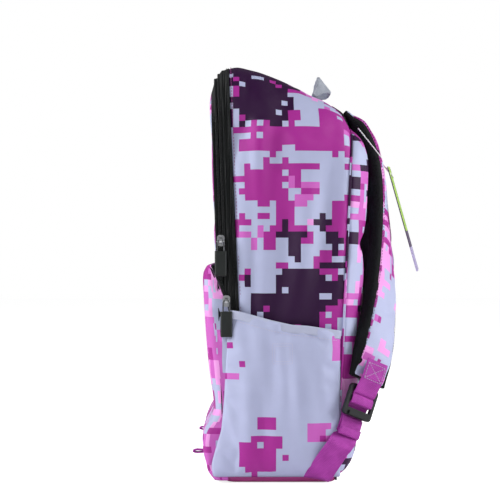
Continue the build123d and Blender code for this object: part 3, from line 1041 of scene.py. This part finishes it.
def side_pockets():
    """Open side pockets: thin cloth gathered at the sewn edges, with an elastic hem that stands off."""
    for name, sign in SIDES:
        tt, vv = table(np.linspace(0, 1, 40), np.linspace(0, 1, 40))
        mouth = np.interp(vv, MOUTH_SHARE, MOUTH_Z)
        z = 7 + (mouth - 7) * tt
        y_low = np.interp(z, (7, 19, 35, 56, 88, 183), (-73, -75, -71, -64.5, -61.5, -56.5))
        y = y_low + (61.5 - y_low) * vv
        bow = np.sin(math.pi * vv) ** 0.55
        rise = np.clip(tt / 0.28, 0, 1)
        depth = POUCH_DEPTH * bow * np.sqrt(np.maximum(1 - (1 - rise) ** 2, 0))
        depth = depth * (1 - 0.22 * tt**6)
        folds = ripples(y, z * 0.3, 31 + sign, short=20, long=56) * (0.5 + 0.8 * tt) * swell(vv, 4) * 2.2
        x = POUCH_X + np.maximum(depth + folds * np.clip(tt * 5, 0, 1), 0)
        points = np.stack([sign * x, y, z], -1)
        obj = grid("side_pocket_cloth_" + name, points, np.stack([z, y], -1) * MM, print_pouch, flip=sign < 0)
        settle(obj, pinned_points(z.shape), 2.2, pressure=0.4, slack=0.03)
        subdivide(obj)
        thicken(obj, 1.0, lining_cloth)
        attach(obj, "bag")
        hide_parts("side_pocket_" + name)
        steps = np.linspace(0, 1, 90)
        edge_y = -56.5 + 118 * steps
        edge_z = np.interp(steps, MOUTH_SHARE, MOUTH_Z)
        gather = 0.35 * np.sin(edge_y * 2.1) + 0.25 * np.sin(edge_y * 3.7 + 1)
        edge_x = POUCH_X + POUCH_DEPTH * np.sin(math.pi * steps) ** 0.55 * 0.78 + gather * swell(steps, 4)
        path = np.stack([sign * edge_x, edge_y, edge_z - 3.8], -1)
        ease(path, 4)
        section = outline(4.6, 1.3, 1.2, flats=5, arcs=3)
        hem = sweep("side_pocket_hem_cloth_" + name, path, (0.0, 0.18, 0.98), section, hem_cloth)
        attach(hem, "bag")
        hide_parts("side_pocket_hem_" + name)
        out = (float(sign), 0, 0)
        below_hem = pressed(path[2:-2] + np.array((0, 0, -6.4)), obj, sign)
        threads = [stitches("hem_row", below_hem, out, thread_pale, 3.2, 2.2, 0.28)]
        for k, half in enumerate((10.5, 8.0)):
            corners = ((-1, -1), (1, -1), (1, 1), (-1, 1), (-1, -1))
            square = [(0, a * half, 138 + b * half) for a, b in corners]
            line = pressed(smooth_path(square, 1.0, 0), obj, sign)
            threads.append(stitches(f"square_{k}", line, out, thread_pale, 2.4, 1.7, 0.26))
        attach(join("side_pocket_stitch_" + name, threads), "bag")


# ---------------------------------------------------------------- straps, handle and their webbing

# Middle of the strap, its turn about the upright in degrees, and its width, from the top down.
STATIONS = (
    ((58, 70, 397), 0, 60),
    ((58, 80, 391), 0, 62),
    ((58, 88, 385), 0, 62),
    ((59, 91.5, 379.5), 0, 63),
    ((64, 104, 337), 0, 66),
    ((73, 107.5, 292), 6, 66),
    ((86, 109, 247), 14, 64),
    ((104, 107.5, 200), 24, 60),
    ((127, 101, 150), 38, 54),
    ((147, 90, 108), 60, 44),
)


def strap_lines(sign):
    """A strap's middle line, the direction across it and its width, evened out between the stations."""
    centres = np.array([c for c, _, _ in STATIONS], float)
    turns = np.radians([turn for _, turn, _ in STATIONS])
    widths = np.array([w for _, _, w in STATIONS], float)
    run = lengths(centres)
    s = np.linspace(0, run[-1], 110)
    path = at_length(s, run, centres)
    turn, width = np.interp(s, run, turns), np.interp(s, run, widths)
    ease(path, 90)
    ease(turn, 90)
    across = np.stack([np.cos(turn), -np.sin(turn), 0 * turn], -1)
    path[:, 0] *= sign
    across[:, 0] *= sign
    return path, across * sign, width


def strap(name, sign):
    """Shoulder strap: black mesh underside with wide bound edges, and a padded printed face."""
    path, across, width = strap_lines(sign)
    _, across, normal = path_frames(path, across)
    if normal[40][1] < 0:
        normal = -normal
    half = 31
    section = outline(half, 7.4, 6.0, flats=10, arcs=5)
    girth = lengths(np.vstack([section, section[:1]]))
    wide = (width / (2 * half))[:, None]
    share = np.linspace(0, 1, len(path))
    taper = np.clip(np.minimum(share * 14, 0.35 + (1 - share) * 8), 0.45, 1)[:, None]
    a, b = section[None, :, 0] * wide, section[None, :, 1] * taper
    crown = 1.1 * (1 - (section[:, 0] / half) ** 2) * np.sign(section[:, 1])
    points = spread(path, across, normal, a, b + crown * taper)
    run = lengths(path)
    uv = np.stack(table(run, girth), -1) * MM
    body = grid("strap_body_" + name, points, uv, black_mesh, wrap=True)
    close_ends(body, len(path), len(section))
    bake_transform(body)
    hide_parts("strap_top_" + name, "strap_foam_" + name, "strap_mesh_" + name)
    v = np.linspace(-1, 1, 25)
    vv, run_grid = np.meshgrid(v, run)
    rim = np.clip((1 - np.abs(vv)) / 0.14, 0, 1)
    lift = 6.8 + 2.2 * np.sqrt(1 - (1 - rim) ** 2) + 0.9 * (1 - vv**2)
    lift = lift + 0.35 * ripples(run_grid, vv * 30, 41 + sign, short=18, long=60) * rim
    inset = (width / 2 - 3.4)[:, None]
    points = spread(path, across, normal, vv * inset, lift * taper)
    print_uv = np.stack([path[:, 2][:, None] + 0 * vv, vv * 30], -1) * MM
    face = grid("strap_face_cloth_" + name, points, print_uv, print_strap, flip=sign < 0)
    settle(face, pinned_points(vv.shape), 1.4, pressure=0.6, slack=0.02, frames=12)
    thicken(face, 1.4)
    subdivide(face)
    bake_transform(face)
    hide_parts("strap_face_" + name)
    for where, edge in (("inner", -1), ("outer", 1)):
        line = path + across * (edge * (width / 2 - 4.6))[:, None] + normal * (taper * 8.4)
        row = stitches(f"strap_stitch_{name}_{where}", line[4:-3], normal[4:-3], thread_black, 3.4, 2.3, 0.3)
        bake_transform(row)


def strap_end(name, sign):
    """Sewn patch, webbing through the buckle, webbing to the bag's corner, and its free tail."""
    turn = math.radians(60)
    outward = np.array((math.sin(turn), math.cos(turn), 0))
    side = np.array((math.cos(turn), -math.sin(turn), 0))
    lean = math.radians(21)
    up = np.array((0, 0, math.cos(lean))) - side * math.sin(lean)
    middle = np.array((147, 90, 108)) - up * 24
    across = np.cross(outward, up)
    flip = np.array((sign, 1, 1))

    def placed(pairs):
        return [(middle + outward * o + up * u) * flip for o, u in pairs]

    patch_line = placed(((9.4, 46), (9.6, 27), (6.4, 18), (4.2, 8.6), (0, 7.2), (-3.8, 8.6), (-4.2, 15)))
    patch = ribbon("strap_patch_tape_" + name, patch_line, across * flip, 27, pink_webbing, 1.8, 4, step=1.0)
    rows = []
    box = ((42, -11, 42, 11), (42, 11, 25, 11), (25, 11, 25, -11), (25, -11, 42, -11))
    cross = ((42, -11, 25, 11), (42, 11, 25, -11))
    for k, (u0, v0, u1, v1) in enumerate(box + cross):
        line = []
        for share in np.linspace(0, 1, 12):
            u, w = u0 + (u1 - u0) * share, v0 + (v1 - v0) * share
            o = np.interp(u, (18, 27, 46), (6.4, 9.6, 9.4)) + 0.9
            line.append((middle + outward * o + up * u + across * w) * flip)
        rows.append(stitches(f"x{k}", line, outward * flip, thread_pale, 2.8, 2.0, 0.3))
    boxed = join("strap_patch_stitch_" + name, rows)
    for piece in (patch, boxed):
        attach(piece, "strap_" + name)
    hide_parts("strap_patch_" + name)
    round_bars = ((-3.8, -16.5), (-3.8, -4), (0, -2.6), (3.8, -3.6), (4.0, 2), (3.8, 6.2), (-1, 7.2))
    top = placed(round_bars + ((-6.0, 6.2), (-6.6, -6), (-6.2, -24), (-6.0, -38)))
    to_corner = ((166.5, 60, 42), (164.5, 47, 23), (160, 39, 10), (153.5, 36, 5.5), (147, 35, 5))
    foot = [np.array(p) * flip for p in to_corner]
    path = smooth_path(top + foot, 1.2, 6)
    share = np.clip((60 - path[:, 2]) / 50, 0, 1)[:, None]
    across_foot = np.array((0.2, 0.96, -0.12)) * flip * (1 if across[1] > 0 else -1)
    width_dir = (across * flip)[None] * (1 - share) + across_foot[None] * share
    section = outline(13.5, 0.9, 0.85, flats=8, arcs=3)
    webbing = sweep("lower_webbing_" + name, path, width_dir, section, pink_webbing)
    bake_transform(webbing)
    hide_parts("strap_webbing_" + name, "webbing_anchor_" + name)
    tail_line = placed(((-3.6, -18.4), (-3.0, -30), (-3.4, -37.4), (-1.2, -37.6), (-0.9, -29)))
    tail = ribbon("webbing_tail_tape_" + name, tail_line, across * flip, 26, pink_webbing, 1.6, 2, step=0.8)
    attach(tail, "tail_" + name)
    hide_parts("webbing_tail_" + name)


def handle():
    """Haul loop of thick ribbed webbing, its base strip and the strip over the strap ends."""
    rise, wide = np.array((0, 0.78, 0.62)), np.array((0, -0.62, 0.78))
    origin = np.array((0, 36, 416.9))
    half_arc = ((-57, 1.6), (-53, 7), (-46, 15.5), (-34, 20.2))
    pairs = half_arc + ((0, 21.4),) + tuple((-x, h) for x, h in reversed(half_arc))
    points = [origin + np.array((x, 0, 0)) + rise * h + wide * h * 0.2 for x, h in pairs]
    widths = (0.22, 0.5, 0.9, 1, 1, 1, 1, 1, 0.9, 0.5, 0.22)
    loop = ribbon("haul_loop_webbing", points, wide, 24, grey_webbing, 3.6, 6, scale=widths)
    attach(loop, "haul_loop")
    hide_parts("haul_loop")
    for name, half, y_low, y_high, node, material, slot in (
        ("haul_loop_base_strip", 62, 26, 46, "haul_loop_base", grey_webbing, "grey_webbing"),
        ("strap_yoke_strip", 92, 55, 73, "strap_yoke", black_tape, "grey_webbing"),
    ):
        xx, yy = table(np.linspace(-half, half, 50), np.linspace(y_low, y_high, 9))
        rim = np.clip((y_high - yy) * (yy - y_low) / 12, 0, 1)
        zz = top_height(yy) + 0.7 + 0.4 * rim
        strip = grid(name, np.stack([xx, yy, zz], -1), np.stack([xx, yy], -1) * MM, material)
        thicken(strip, 1.4)
        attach(strip, "bag")
        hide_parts(node)
        for k, y in enumerate((y_low + 2.5, y_high - 2.5)):
            x = np.linspace(-half + 2, half - 2, 40)
            line = np.stack([x, np.full(40, y), np.full(40, top_height(y) + 1.7)], -1)
            row = stitches(f"{name}_stitch_{k}", line, (0, 0.3, 0.95), thread_black)
            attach(row, "bag")


def hardware():
    """CAD pieces with the right shape: they keep their meshes and take worn, grained materials."""
    groups = (
        (slider_metal, 0.35, ("main_slider", "pocket_slider", "main_pull_link", "pocket_pull_link")),
        (rubber, 0.5, ("main_pull_grip", "pocket_pull_grip")),
        (buckle, 0.6, ("ladder_lock_right", "ladder_lock_left")),
        (card, 0.0, ("hang_tag",)),
        (string, 0.0, ("tag_loop",)),
        (lining_cloth, 0.0, ("back_lining",)),
    )
    for material, radius, names in groups:
        for name in names:
            obj = cad_nodes[name]
            obj.data.materials.clear()
            obj.data.materials.append(material)
            if radius and "link" not in name:
                bevel = obj.modifiers.new("bevel", "BEVEL")
                bevel.width = radius * MM
                bevel.segments = 3
                bevel.limit_method = "ANGLE"
                bevel.angle_limit = math.radians(40)


# ---------------------------------------------------------------- the studio


def studio():
    """White floor and surroundings, three soft lights, and the camera level and square to the right side."""
    bpy.ops.mesh.primitive_plane_add(size=14, location=(0, 0, 0))
    floor = bpy.context.active_object
    floor.name = "studio_floor"
    s = Shader("studio_floor")
    s.surface.inputs["Emission Color"].default_value = (1, 1, 1, 1)
    seen = s.tree.nodes.new("ShaderNodeLightPath").outputs["Is Camera Ray"]
    s.put(s.surface.inputs["Emission Strength"], s.times(seen, 0.8))
    floor.data.materials.append(s.finish(color=(0.93, 0.93, 0.93, 1), rough=0.8, specular=0.0))
    world = bpy.data.worlds.new("studio")
    world.use_nodes = True
    background = world.node_tree.nodes["Background"]
    background.inputs["Color"].default_value = (1, 1, 1, 1)
    path = world.node_tree.nodes.new("ShaderNodeLightPath")
    strength = world.node_tree.nodes.new("ShaderNodeMapRange")
    world.node_tree.links.new(path.outputs["Is Camera Ray"], strength.inputs["Value"])
    strength.inputs["To Min"].default_value = 0.2
    strength.inputs["To Max"].default_value = 1.0
    world.node_tree.links.new(strength.outputs["Result"], background.inputs["Strength"])
    bpy.context.scene.world = world
    for name, place, turn, size, power in (
        ("front_box", (0.55, -1.9, 1.0), (66, 0, 16), 1.0, 36),
        ("back_box", (0.45, 1.9, 1.0), (66, 0, 167), 1.0, 36),
        ("camera_box", (1.9, -0.9, 1.6), (50, 0, 66), 0.8, 7),
    ):
        light = bpy.data.lights.new(name, "AREA")
        light.size = size
        light.energy = power
        lamp = bpy.data.objects.new(name, light)
        lamp.location = place
        lamp.rotation_euler = [math.radians(a) for a in turn]
        bpy.context.scene.collection.objects.link(lamp)
    camera = bpy.data.cameras.new("camera")
    camera.lens = 125.7
    camera.sensor_width = 36
    camera.dof.use_dof = False
    shot = bpy.data.objects.new("camera", camera)
    shot.location = (2.0, -0.034, 0.247)
    shot.rotation_euler = (math.radians(90), 0, math.radians(90))
    bpy.context.scene.collection.objects.link(shot)
    bpy.context.scene.camera = shot
    bpy.context.scene.view_settings.view_transform = "Standard"
    bpy.context.scene.view_settings.look = "None"


side_and_top()
zipper_bands()
front_cloth()
base()
back_pad()
front_pocket()
side_pockets()
for side_name, side_sign in SIDES:
    strap(side_name, side_sign)
    strap_end(side_name, side_sign)
handle()
hardware()
studio()
